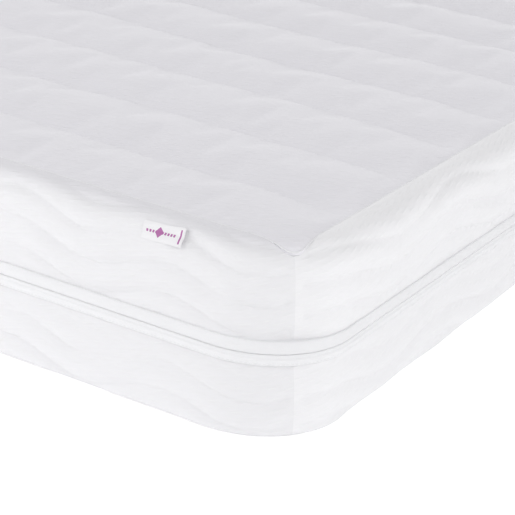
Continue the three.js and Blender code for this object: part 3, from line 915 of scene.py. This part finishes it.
def blocks(name, points, uv, smooth_faces):
    """A row of small closed pieces: each is a stack of four-cornered rings with both ends capped."""
    points, uv = points.reshape(len(points), -1, 3), uv.reshape(len(uv), -1, 2)
    count, size = points.shape[:2]
    first = np.arange(count)[:, None, None] * size
    corner, ring = np.arange(4)[None, None, :], np.arange(size // 4 - 1)[None, :, None] * 4
    a, b = first + ring + corner, first + ring + (corner + 1) % 4
    sides = np.stack([a, b, b + 4, a + 4], -1).reshape(-1, 4)
    caps = [first[:, 0] + [3, 2, 1, 0], first[:, 0] + size - 4 + np.arange(4)]
    return make(name, points, np.concatenate([sides, *caps]), uv, smooth_faces=smooth_faces)


def stitches(name, z, inset):
    """A row of lockstitches that runs round the cover."""
    count = int(PERIMETER / STITCH_PITCH)
    s = (np.arange(count) + 0.5) * PERIMETER / count
    angle = np.linspace(0, 2 * math.pi, 5)[:-1] + math.pi / 4
    points, uv = [], []
    for share, swell in ((-1, 0.35), (-0.7, 1), (0.7, 1), (1, 0.35)):
        at, radius = s + share * STITCH_HALF, swell * STITCH_RADIUS
        sunk, height = inset - radius * np.cos(angle)[None, :], z + radius * np.sin(angle)[None, :]
        points.append(place(at, sunk, height))
        uv.append(grid_of(at[:, None], angle[None, :] * radius))
    return blocks(name, np.stack(points, 1), np.stack(uv, 1), smooth_faces=True)


def teeth(name, root_z, tip_z, offset):
    """One row of moulded teeth: each is a tapered block with a rounded head."""
    s = np.arange(ZIP_START + (1 + offset) * TOOTH_PITCH, ZIP_STOP - TOOTH_PITCH, TOOTH_PITCH)
    inset = HALF_W - extent("upper_zip_chain", 0)[1] + TOOTH_BACK
    points, uv = [], []
    for half, share, deep in TOOTH_RINGS:
        z = root_z + (tip_z - root_z) * share
        for da, di in ((-1, -1), (1, -1), (1, 1), (-1, 1)):
            along = s + da * half * MM
            point = place(along, np.full((1, 1), inset + di * deep * MM), np.full((1, 1), z))
            points.append(point[:, 0])
            uv.append(np.stack([along, np.full(len(s), z + di * MM)], -1))
    return blocks(name, np.stack(points, 1), np.stack(uv, 1), smooth_faces=False)


def zip_tape(name, z_low, z_high):
    inset = HALF_W - extent("upper_zip_tape", 0)[1]
    profile = rounded_profile(inset, inset + TAPE_THICK, z_low, z_high, 0.4 * MM, 2)
    return band(name, profile, ZIP_START, ZIP_STOP, 5 * MM)


piece(binding("upper_binding_folded", UPPER_BINDING[0], UPPER_BINDING[1] + 2.5 * MM, UPPER_REACH, 0.0),
      "binding", "upper_cover", "upper_zip_binding")
piece(binding("lower_binding_folded", LOWER_BINDING[1], LOWER_BINDING[0] - 1.5 * MM, LOWER_REACH, LOWER_DENT),
      "binding", "lower_cover", "lower_zip_binding")
for part, body in (("upper", "upper_cover"), ("lower", "lower_cover")):
    z_low, z_high = extent(f"{part}_zip_tape", 2)
    tape = zip_tape(f"{part}_zip_tape_woven", z_low, z_high)
    piece(tape, "tape", body, f"{part}_zip_tape")
    low, high = extent(f"{part}_zip_chain", 2)
    # The tips stop at the chain's own edge: the slider's middle post runs between the two rows.
    if part == "upper":
        row = teeth("upper_zip_teeth", high, low, 0.0)
    else:
        row = teeth("lower_zip_teeth", low, high, 0.5)
    piece(row, "chain", body, f"{part}_zip_chain")
piece(stitches("upper_binding_stitches", UPPER_BINDING[1] + 1.4 * MM, 0.1 * MM),
      "thread", "upper_cover")
piece(stitches("lower_binding_stitches", LOWER_BINDING[0] + 0.3 * MM, -0.45 * MM),
      "thread", "lower_cover")

# ---- Pieces whose CAD shape is kept, with their edges and surfaces worked up ---------------------


def worked_copy(node, name, bevel=0.0, slices=None, move=None):
    """A copy of a CAD node's mesh with rounded edges, cut into small faces where move needs them."""
    mesh = frame["nodes"][node].data.copy()
    mesh.name = name
    obj = add_object(name, mesh)
    bm = bmesh.new()
    bm.from_mesh(mesh)
    bmesh.ops.remove_doubles(bm, verts=bm.verts, dist=1e-6)
    bmesh.ops.dissolve_limit(bm, angle_limit=math.radians(1), verts=bm.verts, edges=bm.edges)
    if bevel:
        sharp = [e for e in bm.edges if len(e.link_faces) == 2 and e.calc_face_angle(0) > math.radians(40)]
        bmesh.ops.bevel(
            bm, geom=sharp, offset=bevel, offset_type="OFFSET", segments=3, profile=0.5,
            affect="EDGES", clamp_overlap=True,
        )
    if slices:
        for axis, step in enumerate(slices):
            normal = [0, 0, 0]
            normal[axis] = 1
            low = min(v.co[axis] for v in bm.verts)
            high = max(v.co[axis] for v in bm.verts)
            for k in range(1, int((high - low) / step)):
                point = [0, 0, 0]
                point[axis] = low + k * step
                geometry = bm.verts[:] + bm.edges[:] + bm.faces[:]
                bmesh.ops.bisect_plane(bm, geom=geometry, dist=1e-6, plane_co=point, plane_no=normal)
    bmesh.ops.triangulate(bm, faces=[f for f in bm.faces if len(f.verts) > 4])
    bm.to_mesh(mesh)
    bm.free()
    if move:
        points = np.zeros(len(mesh.vertices) * 3)
        mesh.vertices.foreach_get("co", points)
        points = points.reshape(-1, 3)
        mesh.vertices.foreach_set("co", (points + move(points)).ravel())
    mesh.update()
    mesh.shade_smooth()
    mesh.set_sharp_from_angle(angle=CAD_SHARP)
    layer = mesh.uv_layers.new(name=UV) if UV not in mesh.uv_layers else mesh.uv_layers[UV]
    for face in mesh.polygons:
        n = face.normal
        steep = max(range(3), key=lambda a: abs(n[a]))
        u_axis, v_axis = ((1, 2), (0, 2), (0, 1))[steep]
        for corner in face.loop_indices:
            co = mesh.vertices[mesh.loops[corner].vertex_index].co
            layer.data[corner].uv = (co[u_axis], co[v_axis])
    return obj


def liner_folds(p):
    """Soft slack in the liner, which both of its faces follow."""
    wave = ripples(p[:, 0] + 0.6 * p[:, 2], p[:, 1] + 0.8 * p[:, 2], 190 * MM, 31)
    return grid_of(0, 0, 0.5 * MM * wave * (p[:, 2] > 150 * MM))


def base_ripple(p):
    """Lifts the base cloth a little from what it lies on, in uneven ripples."""
    wave = ripples(p[:, 0], p[:, 1], 120 * MM, 33)
    inside = outline_inset(p[:, 0], p[:, 1]) > 12 * MM
    return grid_of(0, 0, 0.25 * MM * (wave + 2) * inside)


def fibre_lumps(p):
    """Sinks the wadding's upper face in soft lumps."""
    wave = ripples(p[:, 0], p[:, 1], 60 * MM, 35)
    return grid_of(0, 0, -0.5 * MM * (wave + 2) * (p[:, 2] > 168 * MM))


liner = worked_copy("liner", "liner_slack", 0.0, (40 * MM, 40 * MM, 30 * MM), liner_folds)
piece(liner, "liner", "core", "liner")

base = worked_copy("base_panel", "base_panel_cloth", 1 * MM, (30 * MM, 30 * MM, 1), base_ripple)
piece(base, "lining", "lower_cover", "base_panel")

wadding = worked_copy("top_wadding", "top_wadding_fibre", 2.5 * MM, (25 * MM, 25 * MM, 1), fibre_lumps)
piece(wadding, "wadding", "upper_cover", "top_wadding")

for node, slot in (
    ("base_foam", "base_foam"),
    ("left_rail_foam", "rail_foam"),
    ("right_rail_foam", "rail_foam"),
    ("heel_zone_foam", "zone_foam"),
    ("body_zone_foam", "zone_foam"),
    ("head_zone_foam", "zone_foam"),
    ("top_foam", "top_foam"),
):
    block = worked_copy(node, f"{node}_cut", 1.2 * MM)
    piece(block, slot, "core", node)

for node, ending, bevel, look, body, slot in (
    ("zip_end_patch", "sewn", 0.9 * MM, "binding", "lower_cover", "tape"),
    ("zip_slider", "cast", 0.35 * MM, "slider", "slider", "zip_slider"),
    ("pull_tab", "cast", 0.28 * MM, "slider", "tab", "zip_slider"),
):
    piece(worked_copy(node, f"{node}_{ending}", bevel), look, body, node)

for level, body in (("upper", "upper_cover"), ("lower", "lower_cover")):
    for corner in ("foot_right", "head_right", "head_left", "foot_left"):
        node = f"{level}_corner_tape_{corner}"
        low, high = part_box(node)
        tape = worked_copy(node, f"{node}_woven", 0.3 * MM)
        piece(tape, "tape", body, node)
        borders = [f"{level}_border_{side}" for side in corner.split("_")]

# ---- Labels -------------------------------------------------------------------------------------

LABEL_MIDDLE_Z = 165 * MM
LABEL_TILT = math.radians(3)


def woven_label():
    """A folded satin label sewn on at its left, whose right end stands off the cloth."""
    s_middle = STARTS["foot"] + LABEL_X + HALF_W - CORNER
    across = np.linspace(0, LABEL_W, 29)[:, None]
    up = np.linspace(0, LABEL_H, 13)[None, :]
    s = s_middle + (across - LABEL_W / 2) * math.cos(LABEL_TILT) - (up - LABEL_H / 2) * math.sin(LABEL_TILT)
    total = ROLL_Z - UPPER_BOTTOM + TOP_RADIUS * math.pi / 2
    rise = (up - LABEL_H / 2) * math.cos(LABEL_TILT) + (across - LABEL_W / 2) * math.sin(LABEL_TILT)
    middle = ROLL_Z - UPPER_BOTTOM + TOP_RADIUS * math.asin((LABEL_MIDDLE_Z - ROLL_Z) / TOP_RADIUS)
    share = (middle + rise) / total
    lift = 0.6 * MM + 2.2 * MM * smooth(0.5, 1.0, across / LABEL_W) ** 1.5 + 0 * up
    faces = []
    for extra in (0.35 * MM, -0.35 * MM):
        faces.append(np.stack([
            upper_surface("foot", s[:, j:j + 1], share[:, j:j + 1], lift[:, j:j + 1] + extra)[0][:, 0]
            for j in range(up.shape[1])
        ], 1))
    uv = grid_of(across, up)
    return shell("woven_label_folded", faces[0], faces[1], uv)


def care_label():
    """A blank tape label that hangs from the seam inside the head end."""
    low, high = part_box("care_label")
    x = np.linspace(low.x, high.x, 19)[:, None]
    z = np.linspace(low.z, high.z, 13)[None, :]
    curl = 1.1 * MM * ((z - high.z) / (high.z - low.z)) ** 2 * (1 + 0.3 * np.sin(x * 90))
    faces = []
    for y in (high.y, low.y):
        faces.append(grid_of(x, y - curl, z))
    uv = grid_of(x, z)
    return shell("care_label_blank", faces[0], faces[1], uv)


label = woven_label()
piece(label, "label", "upper_cover", "woven_label")
blank = care_label()
piece(blank, "care_label", "lower_cover", "care_label")

# ---- Camera, light and floor --------------------------------------------------------------------

CAMERA_FROM_CORNER = Vector((0.656, -1.288, 0.786))
CAMERA_YAW = math.radians(28.7)
CAMERA_PITCH = math.radians(22.7)
CAMERA_ROLL = math.radians(5.28)
CAMERA_LENS = 135.3

# Azimuths are as for a view: from the foot end is 0, from the right side 90
# Name, azimuth, elevation, distance, size and power
LIGHTS = (
    ("back_left", 206, 13, 5.0, 3.2, 138),
    ("front_left", -35, 14, 2.8, 2.2, 31.5),
    ("front_right", 66, 34, 5.0, 3.5, 86),
)
WORLD_LIGHT = 0.515
FLOOR_GLOW = 0.26
FLOOR_HALF = 40.0


def camera():
    ahead = Vector((
        -math.sin(CAMERA_YAW) * math.cos(CAMERA_PITCH),
        math.cos(CAMERA_YAW) * math.cos(CAMERA_PITCH),
        -math.sin(CAMERA_PITCH),
    ))
    right = Vector((math.cos(CAMERA_YAW), math.sin(CAMERA_YAW), 0))
    up = right.cross(ahead)
    x_axis = right * math.cos(CAMERA_ROLL) + up * math.sin(CAMERA_ROLL)
    y_axis = up * math.cos(CAMERA_ROLL) - right * math.sin(CAMERA_ROLL)
    data = bpy.data.cameras.new("camera")
    data.sensor_width = 36
    data.lens = CAMERA_LENS
    obj = add_object("camera", data)
    turn = Matrix((x_axis, y_axis, -ahead)).transposed().to_4x4()
    stand = Vector((HALF_W, -HALF_L, 0)) + CAMERA_FROM_CORNER
    obj.matrix_world = Matrix.Translation(stand) @ turn
    bpy.context.scene.camera = obj


def area_light(name, azimuth, elevation, distance, size, energy):
    """A square soft light that looks at the mattress from a direction given as for a view."""
    data = bpy.data.lights.new(name, "AREA")
    data.size = size
    data.energy = energy
    obj = add_object(name, data)
    a, e = math.radians(azimuth), math.radians(elevation)
    back = Vector((math.sin(a) * math.cos(e), -math.cos(a) * math.cos(e), math.sin(e)))
    obj.location = back * distance
    obj.rotation_euler = (-back).to_track_quat("-Z", "Y").to_euler()


def floor():
    corners = ((-1, -1, 0), (1, -1, 0), (1, 1, 0), (-1, 1, 0))
    points = FLOOR_HALF * np.array(corners, float)
    points[:, 2] = cad_box[0].z - 0.2 * MM
    obj = make("floor", points, np.array([[0, 1, 2, 3]]), points[:, :2])
    n = Nodes("floor")
    grain = n.noise(n.flat(), 3, 3)
    n.finish(n.mix(grain, (0.93, 0.93, 0.93, 1), (0.96, 0.96, 0.96, 1)), 0.9)
    n.shader.inputs["Emission Color"].default_value = (1, 1, 1, 1)
    n.shader.inputs["Emission Strength"].default_value = FLOOR_GLOW
    obj.data.materials.append(n.material)


def world():
    data = bpy.data.worlds.new("studio")
    data.use_nodes = True
    background = data.node_tree.nodes["Background"]
    background.inputs["Color"].default_value = (1, 1, 1, 1)
    background.inputs["Strength"].default_value = WORLD_LIGHT
    bpy.context.scene.world = data


camera()
for light in LIGHTS:
    area_light(*light)
floor()
world()
bpy.context.scene.view_settings.view_transform = "Standard"
bpy.context.scene.view_settings.exposure = 0.0
